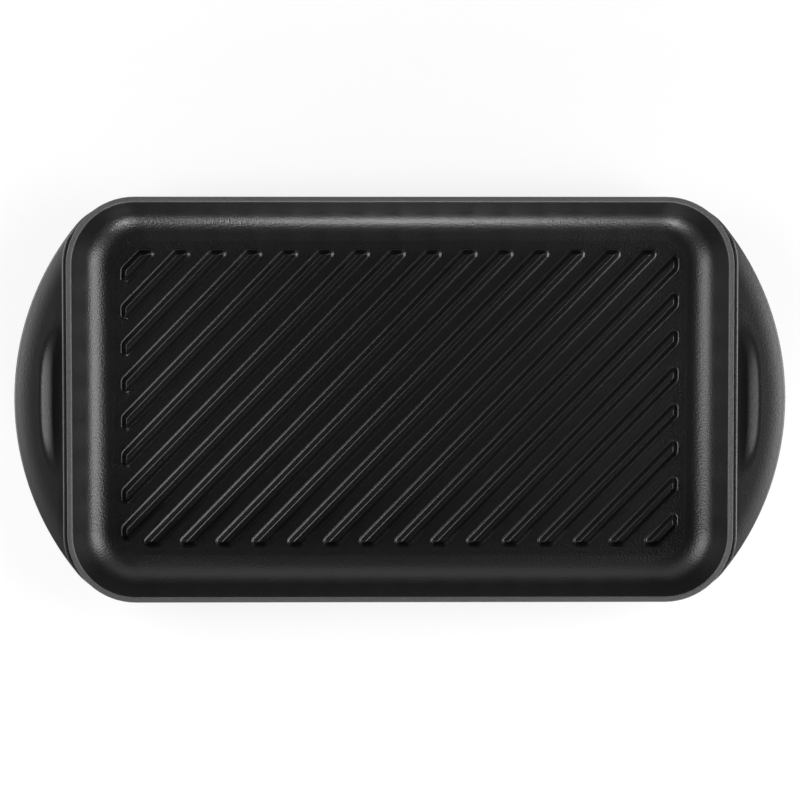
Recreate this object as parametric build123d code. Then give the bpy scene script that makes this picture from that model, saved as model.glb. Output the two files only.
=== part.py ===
from build123d import *
from math import cos, radians, sin, tan
import os

# A rectangular cast iron grill pan: a shallow drafted tray with a foot, a ground rim,
# a field of diagonal ribs on its floor, and a wing-shaped handle on each short side.
# Millimetres, +Z up, +X along the pan, origin on the table under the middle of the pan.
# The real pan is one casting. Its sections are kept as separate solids that meet face to face.

# Overall sizes
overall_length = 400.0
rim_length = 345.0
rim_width = 210.0
rim_corner_radius = 35.5
height = 30.0

# Tray section
floor_top = 5.2
foot_depth = 1.0
foot_width = 11.0
foot_corner_radius = 10.0
foot_edge_draft = 45.0
inside_draft = 18.0
outside_draft = 14.0
inside_toe_radius = 14.8
outside_toe_radius = 18.0
floor_inset = 22.5

# Rim
rim_land = 2.7
rim_band_depth = 0.8
rim_edge_break = 0.4

# Ribs
rib_angle = 45.8
rib_pitch = 13.5
rib_count = 23
rib_height = 4.2
rib_foot_width = 6.6
rib_draft = 28.0
rib_crest_break = 0.45
rib_root_radius = 1.9
rib_root_sink = 0.03
rib_tip_cut = 1.2
rib_tip_bar_width = 400.0
rib_field_length = 291.5
rib_field_width = 155.1

# Handles
handle_arc_radius = 143.0
handle_turn_angle = 39.0
handle_turn_radius = 32.0
handle_turn_sweep = 110.0
handle_top = 26.2
handle_lip_bottom = 20.2
handle_root_bottom = 15.5
handle_crown_radius = 33.0
handle_crown_width = 11.6
handle_top_edge_break = 1.0
handle_bottom_edge_break = 0.9
handle_lip_width = 3.0
handle_hollow = 1.2
ledge_width = 2.2
ledge_top = 28.7
ledge_bottom = 22.2
ledge_edge_break = 0.7
ledge_setback = 0.9

# Thumb scoop in the top of each handle
scoop_depth = 4.0
scoop_half_length = 42.0
scoop_section_radius = 17.0
scoop_offset = 1.3

far = 400.0


def outline(inset):
    """Plan of the pan, this far inside the outer edge of its rim."""
    return RectangleRounded(
        rim_length - 2 * inset,
        rim_width - 2 * inset,
        rim_corner_radius - inset,
    )


def drafted_block(inset, bottom, draft, toe_radius):
    """A block under the rim plane that narrows downwards by its draft and has a round toe."""
    block = extrude(Plane.XY.offset(height) * outline(inset), amount=bottom - height, taper=draft)
    toe = block.faces().sort_by(Axis.Z)[0].edges()
    return fillet(toe, toe_radius)


def foot_recess():
    """The shallow recess in the underside that leaves a foot all round."""
    inset = floor_inset + foot_width
    recess = RectangleRounded(rim_length - 2 * inset, rim_width - 2 * inset, foot_corner_radius)
    return extrude(recess, amount=foot_depth, taper=foot_edge_draft)


def tray():
    """The drafted shell of the pan: inside cut from outside, with the foot below."""
    inside = drafted_block(rim_land, floor_top, inside_draft, inside_toe_radius)
    return outside_block - inside - foot_recess()


def rim_band(shell):
    """The ground land on top of the wall, with both of its edges broken."""
    band = shell & layer(height - rim_band_depth, height)
    top = band.faces().sort_by(Axis.Z)[-1]
    return chamfer(top.edges(), rim_edge_break)


def layer(low, high):
    """All the space between two heights."""
    return Pos(0, 0, (low + high) / 2) * Box(2 * far, 2 * far, high - low)


def flared_bar(foot_width, middle_x, middle_y, angle):
    """A long bar on the floor: drafted flanks, a broken crest, and roots that flare into the floor."""
    foot = foot_width / 2
    crest = foot - rib_height * tan(radians(rib_draft))
    beside = foot + 2 * rib_root_radius
    corners = [(beside, -1), (beside, 0), (foot, 0), (crest, rib_height)]
    mirrored = [(-x, z) for x, z in reversed(corners)]
    with BuildSketch() as section:
        with BuildLine():
            Polyline(*corners, *mirrored, close=True)
        make_face()
        fillet(section.vertices().filter_by(lambda v: v.Y == 0 and abs(v.X) < beside), rib_root_radius)
        chamfer(section.vertices().filter_by(lambda v: v.Y > 1), rib_crest_break)
    along = Vector(cos(radians(angle)), sin(radians(angle)), 0)
    start = Vector(middle_x, middle_y, floor_top - rib_root_sink) - along * far / 2
    across = Plane(start, x_dir=(-along.Y, along.X, 0), z_dir=along)
    return extrude(across * section.sketch, amount=far)


def rib_field():
    """The block that the rib ends are cut to: its four sides have the same slope as a rib's."""
    base = Plane.XY.offset(floor_top - rib_root_sink)
    block = extrude(base * Rectangle(rib_field_length, rib_field_width), rib_height, taper=rib_draft)
    bed = extrude(base * Rectangle(rib_field_length + 30, rib_field_width + 30), amount=-1)
    crest = block.faces().sort_by(Axis.Z)[-1].edges()
    block = chamfer(crest, rib_crest_break) + bed
    root = block.edges().filter_by(is_field_root)
    return fillet(root, rib_root_radius) & layer(floor_top, height)


def is_field_root(edge):
    """Whether an edge runs along the foot of the rib field."""
    middle = edge @ 0.5
    inside = abs(middle.X) < rib_field_length / 2 + 1 and abs(middle.Y) < rib_field_width / 2 + 1
    return inside and abs(middle.Z - floor_top + rib_root_sink) < 0.001


def sharp_corners(across):
    """The sharp corners in the plan of a rib, and the angle that each one points."""
    along = radians(rib_angle)
    corners = []
    for end, turned in ((1, 0), (-1, 180)):
        side = across + end * rib_foot_width / 2
        border_y = end * rib_field_width / 2
        reach = (border_y + side * cos(along)) / sin(along)
        x = side * sin(along) + reach * cos(along)
        if abs(x) < rib_field_length / 2:
            corners.append((x, border_y, turned + rib_angle / 2))
        side = across - end * rib_foot_width / 2
        border_x = end * rib_field_length / 2
        reach = (border_x - side * sin(along)) / cos(along)
        y = -side * cos(along) + reach * sin(along)
        if abs(y) < rib_field_width / 2:
            corners.append((border_x, y, turned + 45 + rib_angle / 2))
    return corners


def rib(number, field):
    """One diagonal rib, mitred to the rib field and blunted at its sharp corners."""
    across = (number - (rib_count + 1) / 2) * rib_pitch
    along = radians(rib_angle)
    body = flared_bar(rib_foot_width, across * sin(along), -across * cos(along), rib_angle) & field
    for x, y, angle in sharp_corners(across):
        back = rib_tip_cut + rib_tip_bar_width / 2
        middle_x = x - back * cos(radians(angle))
        middle_y = y - back * sin(radians(angle))
        body &= flared_bar(rib_tip_bar_width, middle_x, middle_y, angle + 90)
    return body


def handle_plan(inset=0.0):
    """Plan of the wing: one long arc whose ends turn in to meet the pan's corners."""
    hub_x = overall_length / 2 - handle_arc_radius
    turn = radians(handle_turn_angle)
    long_radius = handle_arc_radius - inset
    long_end = (hub_x + long_radius * cos(turn), long_radius * sin(turn))
    turn_x = hub_x + (handle_arc_radius - handle_turn_radius) * cos(turn)
    turn_y = (handle_arc_radius - handle_turn_radius) * sin(turn)
    turn_radius = handle_turn_radius - inset
    sweep = handle_turn_sweep
    with BuildSketch() as plan:
        with BuildLine():
            ThreePointArc((long_end[0], -long_end[1]), (hub_x + long_radius, 0), long_end)
            upper = CenterArc((turn_x, turn_y), turn_radius, handle_turn_angle, sweep)
            lower = CenterArc((turn_x, -turn_y), turn_radius, -handle_turn_angle, -sweep)
            Line(upper @ 1, lower @ 1)
        make_face()
    return plan.sketch


def handle_section():
    """The wing's section from hub to edge: flat then crowned above, hollowed below, edges broken."""
    hub_x = overall_length / 2 - handle_arc_radius
    edge = overall_length / 2
    crown_start = edge - handle_crown_width
    crown_drop = handle_crown_radius - (handle_crown_radius**2 - handle_crown_width**2) ** 0.5
    root_x = rim_length / 2 - 5
    lip = (edge - handle_lip_width, handle_lip_bottom)
    root = (root_x, handle_root_bottom)
    hollow = ((edge + root_x) / 2, (handle_lip_bottom + handle_root_bottom) / 2 + handle_hollow)
    brow = (edge, handle_top - crown_drop)
    with BuildSketch() as section:
        with BuildLine():
            Line((hub_x, handle_top), (crown_start, handle_top))
            RadiusArc((crown_start, handle_top), brow, handle_crown_radius)
            Polyline(brow, (edge, handle_lip_bottom), lip)
            ThreePointArc(lip, hollow, root)
            Polyline(root, (hub_x, handle_root_bottom), (hub_x, handle_top))
        make_face()
        edge_corners = section.vertices().filter_by(lambda v: v.X > edge - 0.001).sort_by(Axis.Y)
        chamfer(edge_corners[-1], handle_top_edge_break)
        edge_corners = section.vertices().filter_by(lambda v: v.X > edge - 0.001).sort_by(Axis.Y)
        chamfer(edge_corners[0], handle_bottom_edge_break)
    return Plane.XZ * section.sketch


def right_handle():
    """The wing that follows the pan's wall, with a root ledge and a thumb scoop."""
    hub = Axis((overall_length / 2 - handle_arc_radius, 0, 0), (0, 0, 1))
    crown = revolve(handle_section().rotate(hub, 180), hub, 360)
    wing = crown & extrude(handle_plan(), amount=height)
    wing -= thumb_scoop()
    return (wing + root_ledge()) - outside_block


def root_ledge():
    """The narrow step where the handle leaves the wall, just below the rim."""
    base = Plane.XY.offset(ledge_bottom)
    wide = extrude(base * outline(-ledge_width), amount=ledge_top - ledge_bottom)
    wing = extrude(base * handle_plan(ledge_setback), amount=ledge_top - ledge_bottom)
    wide = chamfer(wide.faces().sort_by(Axis.Z)[-1].edges(), ledge_edge_break)
    wing = chamfer(wing.faces().sort_by(Axis.Z)[-1].edges(), ledge_edge_break)
    return wide & wing


def thumb_scoop():
    """A ring segment whose lowest arc cuts a shallow hollow beside the wall."""
    sweep_radius = (scoop_half_length**2 + scoop_depth**2) / (2 * scoop_depth)
    centre_x = rim_length / 2 + ledge_width + scoop_offset
    lowest = handle_top - scoop_depth
    ring_axis = Axis((centre_x, 0, lowest + sweep_radius), (1, 0, 0))
    with BuildSketch(Plane.XZ) as section:
        with Locations((centre_x, lowest + scoop_section_radius)):
            Circle(scoop_section_radius)
    return revolve(section.sketch.rotate(ring_axis, -20), ring_axis, 40)


outside_block = drafted_block(0, 0, outside_draft, outside_toe_radius)
shell = tray()
floor_column = extrude(outline(floor_inset), amount=height)
parts = {
    "cooking_floor": shell & floor_column,
    "side_wall": (shell - floor_column) & layer(0, height - rim_band_depth),
    "rim_band": rim_band(shell),
    "right_handle": right_handle(),
}
parts["left_handle"] = parts["right_handle"].rotate(Axis.Z, 180)
field = rib_field()
for number in range(1, rib_count + 1):
    parts[f"rib_{number:02d}"] = rib(number, field)

os.makedirs("parts", exist_ok=True)
for name, solid in parts.items():
    export_step(solid, f"parts/{name}.step")
    print(name, len(solid.solids()), round(solid.volume), solid.bounding_box().size)
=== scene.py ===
import math

import bmesh
import bpy
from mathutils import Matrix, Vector


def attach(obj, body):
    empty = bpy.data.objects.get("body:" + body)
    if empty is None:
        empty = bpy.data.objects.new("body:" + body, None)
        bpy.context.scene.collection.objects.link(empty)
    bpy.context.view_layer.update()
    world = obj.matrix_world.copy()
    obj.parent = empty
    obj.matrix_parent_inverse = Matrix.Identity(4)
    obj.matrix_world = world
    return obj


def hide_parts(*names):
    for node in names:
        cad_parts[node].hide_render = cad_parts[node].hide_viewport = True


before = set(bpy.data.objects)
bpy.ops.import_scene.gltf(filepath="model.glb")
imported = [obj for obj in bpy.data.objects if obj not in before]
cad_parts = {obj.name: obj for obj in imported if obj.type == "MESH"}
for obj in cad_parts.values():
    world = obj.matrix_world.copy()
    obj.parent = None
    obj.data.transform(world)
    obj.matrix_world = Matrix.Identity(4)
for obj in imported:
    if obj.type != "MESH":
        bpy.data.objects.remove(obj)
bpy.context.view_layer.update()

# The cooking floor: the flat bottom of the casting, seen between the ribs. It is iron under
# black glass enamel, sprayed on and fired, so its gloss is broken by a fine ripple.
enamel_dark = "#0a0a0b"
enamel_light = "#0f0f0f"
enamel_ior = 1.6
enamel_cloud_mm = 14
enamel_ripple_mm = 0.9
enamel_gloss_spread = 0.05


def linear(hex_colour):
    """An sRGB hex colour as linear red, green, blue and alpha."""
    values = [int(hex_colour[i:i + 2], 16) / 255 for i in (1, 3, 5)]
    curve = [v / 12.92 if v <= 0.04045 else ((v + 0.055) / 1.055) ** 2.4 for v in values]
    return (*curve, 1.0)


def per_mm(size_mm):
    """The texture scale, in metres, at which one cell of a pattern is this many millimetres."""
    return 1000.0 / size_mm


def add(tree, kind, links=(), **settings):
    """Adds a node, sets its properties and sockets, and links (socket, other node, its output)."""
    node = tree.nodes.new(kind)
    for name, value in settings.items():
        if hasattr(node, name):
            setattr(node, name, value)
        else:
            node.inputs[name.replace("_", " ")].default_value = value
    for socket, other, output in links:
        tree.links.new(other.outputs[output], node.inputs[socket])
    return node


def new_material(name):
    """An empty node material with its output."""
    material = bpy.data.materials.new(name)
    material.use_nodes = True
    material.node_tree.nodes.clear()
    out = add(material.node_tree, "ShaderNodeOutputMaterial")
    return material, material.node_tree, out


def fired_enamel(name, roughness, ripple_height_mm):
    """Black glass enamel: satin, with an orange-peel ripple drawn coarser than life to show."""
    material, tree, out = new_material(name)
    place = add(tree, "ShaderNodeTexCoord")
    cloud = add(tree, "ShaderNodeTexNoise", [("Vector", place, "Object")],
                Scale=per_mm(enamel_cloud_mm), Detail=3.0, Roughness=0.6)
    colour = add(tree, "ShaderNodeMix", [("Factor", cloud, "Fac")], data_type="RGBA")
    colour.inputs[6].default_value = linear(enamel_dark)
    colour.inputs[7].default_value = linear(enamel_light)
    ripple = add(tree, "ShaderNodeTexNoise", [("Vector", place, "Object")],
                 Scale=per_mm(enamel_ripple_mm), Detail=0.0, Roughness=0.5)
    uneven = add(tree, "ShaderNodeMapRange", [("Value", ripple, "Fac")])
    uneven.inputs["To Min"].default_value = roughness - enamel_gloss_spread
    uneven.inputs["To Max"].default_value = roughness + enamel_gloss_spread
    bump = add(tree, "ShaderNodeBump", [("Height", ripple, "Fac")],
               Strength=1.0, Distance=ripple_height_mm / 1000)
    skin = add(tree, "ShaderNodeBsdfPrincipled",
               [("Base Color", colour, 2), ("Roughness", uneven, "Result"),
                ("Normal", bump, "Normal")], IOR=enamel_ior, Metallic=0.0)
    tree.links.new(skin.outputs["BSDF"], out.inputs["Surface"])
    return material


def dress(node, material):
    """Gives a node of the frame its material."""
    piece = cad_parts[node]
    piece.data.materials.clear()
    piece.data.materials.append(material)


floor_enamel = fired_enamel("fired_enamel_floor", 0.35, 0.12)
dress("cooking_floor", floor_enamel)

# The side wall: the same casting turned up all round with a generous inside radius, under the
# same enamel. It is set a little rougher than the floor, to match the width of the bright band
# that the photograph shows in the bend.
wall_enamel = fired_enamel("fired_enamel_wall", 0.39, 0.12)
dress("side_wall", wall_enamel)

# The ribs: raised bars cast in one with the floor, which brand the food and let the fat run off.
# The pattern maker drafted their flanks, flared their roots and rounded their ends, and the enamel
# softens the crest edges a little more.
mm = 0.001
floor_top = 5.2
rib_angle = math.radians(45.8)
rib_pitch = 13.5
rib_count = 23
rib_height = 4.17
rib_foot_width = 6.6
rib_draft = math.radians(28)
rib_root_radius = 1.9
rib_crest_radius = 0.75
rib_sharp_end_radius = 2.0
rib_blunt_end_radius = 3.6
rib_field = (291.5, 155.1)
rib_sink = 0.02
rib_sharp_corner = math.radians(30)
rib_least_radius = 0.12
rib_bend_steps = 5
rib_corner_steps = 8


def cut(outline, normal, reach):
    """The part of a convex outline whose points lie within reach along the normal."""
    kept = []
    for here, after in zip(outline, outline[1:] + outline[:1]):
        a, b = here.dot(normal) - reach, after.dot(normal) - reach
        if a <= 0:
            kept.append(here)
        if a * b < 0:
            kept.append(here.lerp(after, a / (a - b)))
    return kept


def rib_outline(number):
    """The foot of one rib in plan, counterclockwise: a diagonal strip cut by the field."""
    x, y = rib_field[0] / 2, rib_field[1] / 2
    field = [Vector((-x, -y)), Vector((x, -y)), Vector((x, y)), Vector((-x, y))]
    across = Vector((math.sin(rib_angle), -math.cos(rib_angle)))
    middle = (number - (rib_count + 1) / 2) * rib_pitch
    strip = cut(field, across, middle + rib_foot_width / 2)
    return cut(strip, -across, -middle + rib_foot_width / 2)


def corner_radii(outline):
    """How far each corner of a foot is rounded, less where the corners are close together."""
    sides = len(outline)
    radii, reaches = [], []
    for i in range(sides):
        before = (outline[i - 1] - outline[i]).normalized()
        after = (outline[(i + 1) % sides] - outline[i]).normalized()
        half = before.angle(after) / 2
        radius = rib_sharp_end_radius if half < rib_sharp_corner else rib_blunt_end_radius
        radii.append(radius)
        reaches.append(radius / math.tan(half))
    for i in range(sides):
        j = (i + 1) % sides
        room = (outline[j] - outline[i]).length / (reaches[i] + reaches[j])
        if room < 1:
            radii[i] *= room
            radii[j] *= room
            reaches[i] *= room
            reaches[j] *= room
    return radii


def rounded_ring(outline, radii, inset):
    """Points of the outline this far inside itself, with its corners rounded."""
    sides = len(outline)
    ring = []
    for i in range(sides):
        before = (outline[i] - outline[i - 1]).normalized()
        after = (outline[(i + 1) % sides] - outline[i]).normalized()
        turn = before.angle_signed(after) * -1
        radius = max(radii[i] - inset, rib_least_radius)
        bisector = (after - before).normalized()
        to_centre = (inset + radius) / math.cos(turn / 2)
        centre = outline[i] + bisector * to_centre
        start = math.atan2(-before.x, before.y)
        for step in range(rib_corner_steps + 1):
            angle = start + turn * step / rib_corner_steps
            ring.append(centre + radius * Vector((math.cos(angle), math.sin(angle))))
    return ring


def rib_profile():
    """Inset and height of each ring of a rib, from the edge of its flare to its crest."""
    slope = math.pi / 2 - rib_draft
    flare = rib_root_radius * math.tan(slope / 2)
    crest_inset = rib_height * math.tan(rib_draft)
    crest_flat = crest_inset + rib_crest_radius * math.tan(slope / 2)
    rings = []
    for step in range(rib_bend_steps + 1):
        tilt = slope * step / rib_bend_steps
        rise = rib_root_radius * (1 - math.cos(tilt))
        rings.append((-flare + rib_root_radius * math.sin(tilt), rise))
    for step in range(rib_bend_steps + 1):
        tilt = slope * (1 - step / rib_bend_steps)
        drop = rib_crest_radius * (1 - math.cos(tilt))
        rings.append((crest_flat - rib_crest_radius * math.sin(tilt), rib_height - drop))
    return rings


def loft(name, solids):
    """One smooth mesh of closed solids, each lofted through rings of equal length, in mm."""
    form = bmesh.new()
    for rings in solids:
        loops = [[form.verts.new([c * mm for c in point]) for point in ring] for ring in rings]
        form.faces.new(loops[0])
        form.faces.new(loops[-1])
        for low, high in zip(loops, loops[1:]):
            for i in range(len(low)):
                form.faces.new((low[i - 1], low[i], high[i], high[i - 1]))
    bmesh.ops.recalc_face_normals(form, faces=form.faces)
    mesh = bpy.data.meshes.new(name)
    form.to_mesh(mesh)
    form.free()
    mesh.shade_smooth()
    piece = bpy.data.objects.new(name, mesh)
    bpy.context.collection.objects.link(piece)
    return piece


rib_enamel = fired_enamel("fired_enamel_ribs", 0.30, 0.04)
profile = rib_profile()
flare_inset = profile[0][0]
for number in range(1, rib_count + 1):
    foot = rib_outline(number)
    radii = corner_radii(foot)
    sunk = rounded_ring(foot, radii, flare_inset)
    rings = [[(*point, floor_top - rib_sink) for point in sunk]]
    for inset, rise in profile:
        rings.append([(*point, floor_top + rise) for point in rounded_ring(foot, radii, inset)])
    bar = loft(f"enamelled_rib_{number:02d}", [rings])
    bar.data.materials.append(rib_enamel)
    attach(bar, "root")
    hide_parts(f"rib_{number:02d}")

# The rim: the top of the wall, where the enamel is wiped back to its thin grey ground coat.
# It is dry and grainy like fine emery, so it looks paler than the glossy coat.


def ground_coat(name, dark, light, rough, grain_mm):
    """Thin matt ground coat with a visible mineral grain."""
    material, tree, out = new_material(name)
    place = add(tree, "ShaderNodeTexCoord")
    grain = add(tree, "ShaderNodeTexNoise", [("Vector", place, "Object")],
                Scale=per_mm(grain_mm), Detail=3.0, Roughness=0.7)
    colour = add(tree, "ShaderNodeMix", [("Factor", grain, "Fac")], data_type="RGBA")
    colour.inputs[6].default_value = linear(dark)
    colour.inputs[7].default_value = linear(light)
    bump = add(tree, "ShaderNodeBump", [("Height", grain, "Fac")], Strength=1.0, Distance=0.0002)
    skin = add(tree, "ShaderNodeBsdfPrincipled",
               [("Base Color", colour, 2), ("Normal", bump, "Normal")], Roughness=rough, IOR=1.5)
    tree.links.new(skin.outputs["BSDF"], out.inputs["Surface"])
    return material


rim_coat = ground_coat("ground_coat_rim", "#1e1e1f", "#5e5e60", 0.5, 1.0)
dress("rim_band", rim_coat)

# The handles: a wing on each short side, cast in one with the wall, crowned along its outer edge,
# hollowed beside the wall for the thumb and relieved below for the fingers.
# They carry the same black enamel. A narrow step runs along the wall, just below the rim.
rim_half = Vector((172.5, 105.0))
rim_corner_radius = 35.5
wing_hub_x = 57.0
wing_radius = 143.0
wing_turn = math.radians(39)
wing_turn_radius = 32.0
wing_top = 26.2
wing_crown_width = 9.6
wing_crown_radius = 34.0
wing_edge_radius = 1.2
wing_lip_bottom = 20.2
wing_lip_width = 3.0
wing_root_bottom = 15.5
wing_hollow = 1.2
wing_top_sink = 3.1
wing_bottom_sink = 5.0
wing_least_reach = 0.5
wing_edge_share = 0.4
wing_lip_share = 0.6
wing_lip_break = 0.9
wing_lip_knee = (0.3, 0.25)
wing_end_angle = 78.0
wing_angle_step = 1.5
wing_top_steps = 36
wing_edge_steps = 5
wing_hollow_steps = 12
scoop_depth = 4.6
scoop_half_length = 37.0
scoop_middle = 1.5
scoop_radius = 17.5
scoop_edge = 1.0
ledge_width = 2.2
ledge_top = 28.7
ledge_bottom = 20.6
ledge_edge = 0.7
ledge_setback = 0.9
ledge_bottom_sink = 3.2
ledge_top_sink = 1.6
ledge_least_width = 0.1
ledge_edge_steps = 3
ledge_corner_sweep = 60
ledge_corner_step = 2
ledge_straight_steps = 12


def beyond_rim(point, inset=0.0):
    """How far a plan point lies outside the rim's outline, or outside it moved in by inset."""
    core = rim_half - Vector((rim_corner_radius, rim_corner_radius))
    out = Vector((abs(point.x) - core.x, abs(point.y) - core.y))
    past = Vector((max(out.x, 0), max(out.y, 0))).length + min(max(out.x, out.y), 0)
    return past - rim_corner_radius + inset


def turn_centre(side):
    """Centre of the arc that turns the wing in to the pan's corner, at the +Y or -Y end."""
    reach = wing_radius - wing_turn_radius
    return Vector((wing_hub_x + reach * math.cos(wing_turn), side * reach * math.sin(wing_turn)))


def wing_edge(angle):
    """A point on the wing's outline and the direction inwards there, by the outline's angle."""
    inward = -Vector((math.cos(angle), math.sin(angle)))
    if abs(angle) <= wing_turn:
        return Vector((wing_hub_x, 0)) - wing_radius * inward, inward
    return turn_centre(math.copysign(1, angle)) - wing_turn_radius * inward, inward


def inside_wing(point):
    """How far a plan point lies inside the wing's outline."""
    hub = Vector((wing_hub_x, 0))
    angle = math.atan2(point.y, point.x - wing_hub_x)
    if abs(angle) <= wing_turn:
        return wing_radius - (point - hub).length
    return wing_turn_radius - (point - turn_centre(math.copysign(1, angle))).length


def reach_to_wall(start, inward, inset):
    """Distance from the wing's edge to the wall's outline moved in by inset."""
    near, beyond = 0.0, 60.0
    halvings = 30
    for _ in range(halvings):
        middle = (near + beyond) / 2
        if beyond_rim(start + inward * middle, inset) > 0:
            near = middle
        else:
            beyond = middle
    return near


def wing_surface(point, depth):
    """Height of the wing's top at a plan point this deep inside its edge."""
    crown = max(wing_crown_width - depth, 0)
    top = wing_top - wing_crown_radius + math.sqrt(wing_crown_radius ** 2 - crown ** 2)
    just_inside = scoop_radius - 0.01
    across = min(beyond_rim(point) - scoop_middle, just_inside)
    lowest = wing_top - scoop_depth * (1 - abs(point.y / scoop_half_length) ** 3)
    hollow = lowest + scoop_radius - math.sqrt(scoop_radius ** 2 - across ** 2)
    if across < 0:
        hollow = lowest
    blend = max(scoop_edge - abs(top - hollow), 0) / scoop_edge
    return min(top, hollow) - blend ** 2 * scoop_edge / 4


def wing_section(angle):
    """The closed section of the wing at one place of its outline, or None where it ends."""
    start, inward = wing_edge(angle)
    top_reach = reach_to_wall(start, inward, wing_top_sink)
    bottom_reach = reach_to_wall(start, inward, wing_bottom_sink)
    if top_reach < wing_least_reach:
        return None
    edge = min(wing_edge_radius, top_reach * wing_edge_share)
    lip = min(wing_lip_width, bottom_reach * wing_lip_share)
    section = []
    for step in range(wing_top_steps + 1):
        depth = edge + (top_reach - edge) * (1 - step / wing_top_steps)
        section.append((depth, wing_surface(start + inward * depth, depth)))
    shoulder = section[-1][1] - edge
    for step in range(1, wing_edge_steps + 1):
        tilt = math.pi / 2 * step / wing_edge_steps
        section.append((edge * (1 - math.sin(tilt)), shoulder + edge * math.cos(tilt)))
    knee, knee_rise = wing_lip_knee
    section += [(0, wing_lip_bottom + wing_lip_break),
                (edge * knee, wing_lip_bottom + knee_rise),
                (edge, wing_lip_bottom)]
    for step in range(wing_hollow_steps + 1):
        share = step / wing_hollow_steps
        z = wing_lip_bottom + share * (wing_root_bottom - wing_lip_bottom)
        arch = 4 * wing_hollow * share * (1 - share)
        section.append((lip + share * (bottom_reach - lip), z + arch))
    return [(*(start + inward * depth), z) for depth, z in section]


def wing_sections():
    """Sections of the wing between its blunt ends, which stand 1.1 mm off the wall low down."""
    last = round(wing_end_angle / wing_angle_step)
    angles = [math.radians(wing_angle_step * step) for step in range(-last, last + 1)]
    return [section for section in map(wing_section, angles) if section]


def ledge_sections():
    """Sections of the step along the wall, where it lies inside the wing."""
    core = rim_half - Vector((rim_corner_radius, rim_corner_radius))
    corner = []
    for degrees in range(ledge_corner_sweep, 0, -ledge_corner_step):
        turn = math.radians(degrees)
        outward = Vector((math.cos(turn), -math.sin(turn)))
        corner.append((Vector((core.x, -core.y)) + rim_corner_radius * outward, outward))
    straight = [(Vector((rim_half.x, y * core.y / ledge_straight_steps)), Vector((1, 0)))
                for y in range(-ledge_straight_steps, ledge_straight_steps + 1)]
    mirrored = [(Vector((p.x, -p.y)), Vector((m.x, -m.y))) for p, m in reversed(corner)]
    sections = []
    for point, outward in corner + straight + mirrored:
        width = min(ledge_width, inside_wing(point) - ledge_setback)
        if width > ledge_least_width:
            edge = min(ledge_edge, width / 2)
            section = [(-ledge_bottom_sink, ledge_bottom), (width, ledge_bottom),
                       (width, ledge_top - edge)]
            for step in range(1, ledge_edge_steps + 1):
                tilt = math.pi / 2 * step / ledge_edge_steps
                section.append((width - edge * (1 - math.cos(tilt)),
                                ledge_top - edge * (1 - math.sin(tilt))))
            section.append((-ledge_top_sink, ledge_top))
            sections.append([(*(point + outward * reach), z) for reach, z in section])
    return sections


handle_enamel = fired_enamel("fired_enamel_handles", 0.40, 0.05)
wing = [wing_sections(), ledge_sections()]
turned_wing = [[[(-x, -y, z) for x, y, z in ring] for ring in rings] for rings in wing]
for side, solids in (("right", wing), ("left", turned_wing)):
    handle = loft(f"enamelled_{side}_wing", solids)
    handle.data.materials.append(handle_enamel)
    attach(handle, "root")
    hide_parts(f"{side}_handle")

# The table: the flat pale surface that the pan stands on. Part of its white is its own glow,
# which only the camera sees, and the rest takes the pan's shadow.
table_half = 3.0
table_own_white = 0.75


def pale_floor():
    """A wide plain floor that shows white to the camera but keeps the pan's shadow."""
    mesh = bpy.data.meshes.new("table")
    corners = [(-1, -1), (1, -1), (1, 1), (-1, 1)]
    mesh.from_pydata([(x * table_half, y * table_half, 0) for x, y in corners],
                     [], [(0, 1, 2, 3)])
    table = bpy.data.objects.new("table", mesh)
    bpy.context.collection.objects.link(table)
    material, tree, out = new_material("white_paper")
    rays = add(tree, "ShaderNodeLightPath")
    paper = add(tree, "ShaderNodeBsdfDiffuse", Color=linear("#f4f4f4"))
    white = add(tree, "ShaderNodeEmission", Color=(1, 1, 1, 1), Strength=1.0)
    share = add(tree, "ShaderNodeMath", [(0, rays, "Is Camera Ray")], operation="MULTIPLY")
    share.inputs[1].default_value = table_own_white
    seen = add(tree, "ShaderNodeMixShader",
               [(0, share, "Value"), (1, paper, "BSDF"), (2, white, "Emission")])
    tree.links.new(seen.outputs["Shader"], out.inputs["Surface"])
    mesh.materials.append(material)


pale_floor()

# The light: a tall soft box on each side, a small strong one at the near side and a wide weak
# one at the far side, all standing on the table, with a faint room behind them.
box_lift = 0.01
room_glow_low = 0.30
room_glow_overhead = 0.02
room_glow_fades_at = 0.8


def soft_box(name, x, y, facing, width, height, radiance):
    """One upright soft light that stands on the table and faces an angle in degrees from +X."""
    lamp = bpy.data.lights.new(name, "AREA")
    lamp.shape = "RECTANGLE"
    lamp.size = width
    lamp.size_y = height
    lamp.energy = radiance * math.pi * width * height
    box = bpy.data.objects.new(name, lamp)
    box.location = (x, y, height / 2 + box_lift)
    box.rotation_euler = (math.radians(90), 0, math.radians(facing - 90))
    box.visible_camera = False
    bpy.context.collection.objects.link(box)


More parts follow.
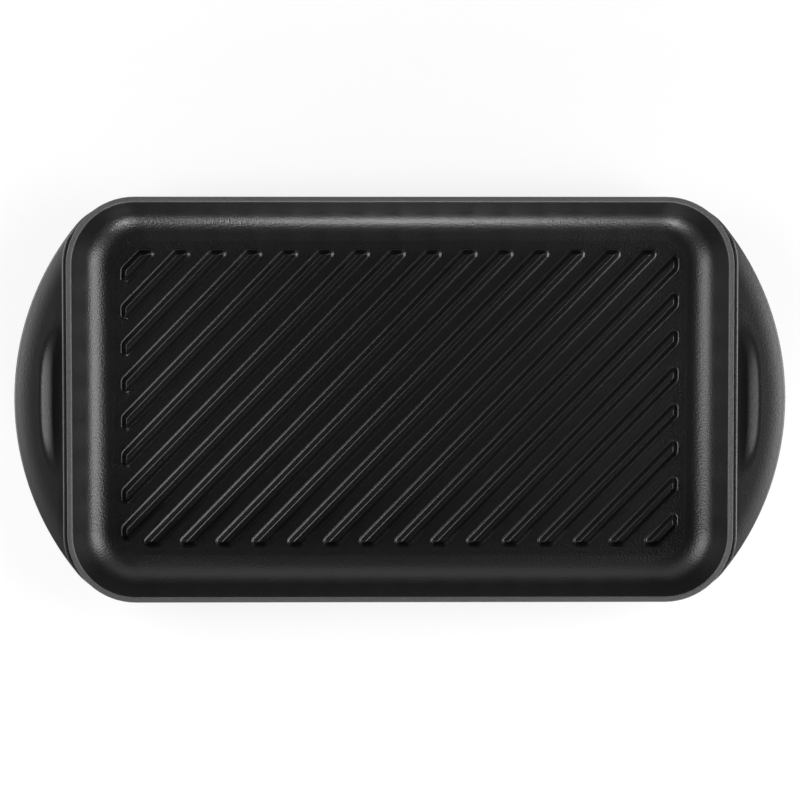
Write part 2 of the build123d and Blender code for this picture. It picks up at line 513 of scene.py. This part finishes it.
soft_box("left_box", -0.62, 0.16, 0, 0.62, 0.80, 4.7)
soft_box("right_box", 0.62, 0.0, 180, 0.45, 0.80, 6.8)
soft_box("near_box", 0.015, -0.61, 90, 0.21, 0.30, 20.0)
soft_box("far_box", 0.0, 0.90, 270, 1.2, 1.2, 0.6)


def studio_world():
    """White behind the object; elsewhere a faint glow along the horizon that fades overhead."""
    world = bpy.data.worlds.new("studio")
    bpy.context.scene.world = world
    world.use_nodes = True
    tree = world.node_tree
    tree.nodes.clear()
    rays = add(tree, "ShaderNodeLightPath")
    place = add(tree, "ShaderNodeTexCoord")
    parts = add(tree, "ShaderNodeSeparateXYZ", [("Vector", place, "Generated")])
    glow = add(tree, "ShaderNodeMapRange", [("Value", parts, "Z")])
    glow.inputs["From Min"].default_value = 0.0
    glow.inputs["From Max"].default_value = room_glow_fades_at
    glow.inputs["To Min"].default_value = room_glow_low
    glow.inputs["To Max"].default_value = room_glow_overhead
    room = add(tree, "ShaderNodeBackground", [("Strength", glow, "Result")], Color=(1, 1, 1, 1))
    backdrop = add(tree, "ShaderNodeBackground", Color=(1, 1, 1, 1), Strength=1.0)
    sky = add(tree, "ShaderNodeMixShader",
              [(0, rays, "Is Camera Ray"), (1, room, "Background"), (2, backdrop, "Background")])
    add(tree, "ShaderNodeOutputWorld", [("Surface", sky, "Shader")])


studio_world()

# The camera: nearly straight above the pan, as in the photograph. It leans a little towards
# the far side and the left.
distance = 1.4
camera_data = bpy.data.cameras.new("camera")
camera_data.lens = 121.78
camera_data.sensor_width = 36.0
camera = bpy.data.objects.new("camera", camera_data)
target = Vector((-0.0003, 0.0001, 0.028))
lean_far = math.radians(2.6)
lean_left = math.radians(0.7)
towards_camera = Vector((-math.sin(lean_left), math.sin(lean_far), 1)).normalized()
camera.location = target + distance * towards_camera
camera.rotation_euler = (-lean_far, -lean_left, 0)
bpy.context.collection.objects.link(camera)
bpy.context.scene.camera = camera

bpy.context.scene.view_settings.view_transform = "Standard"
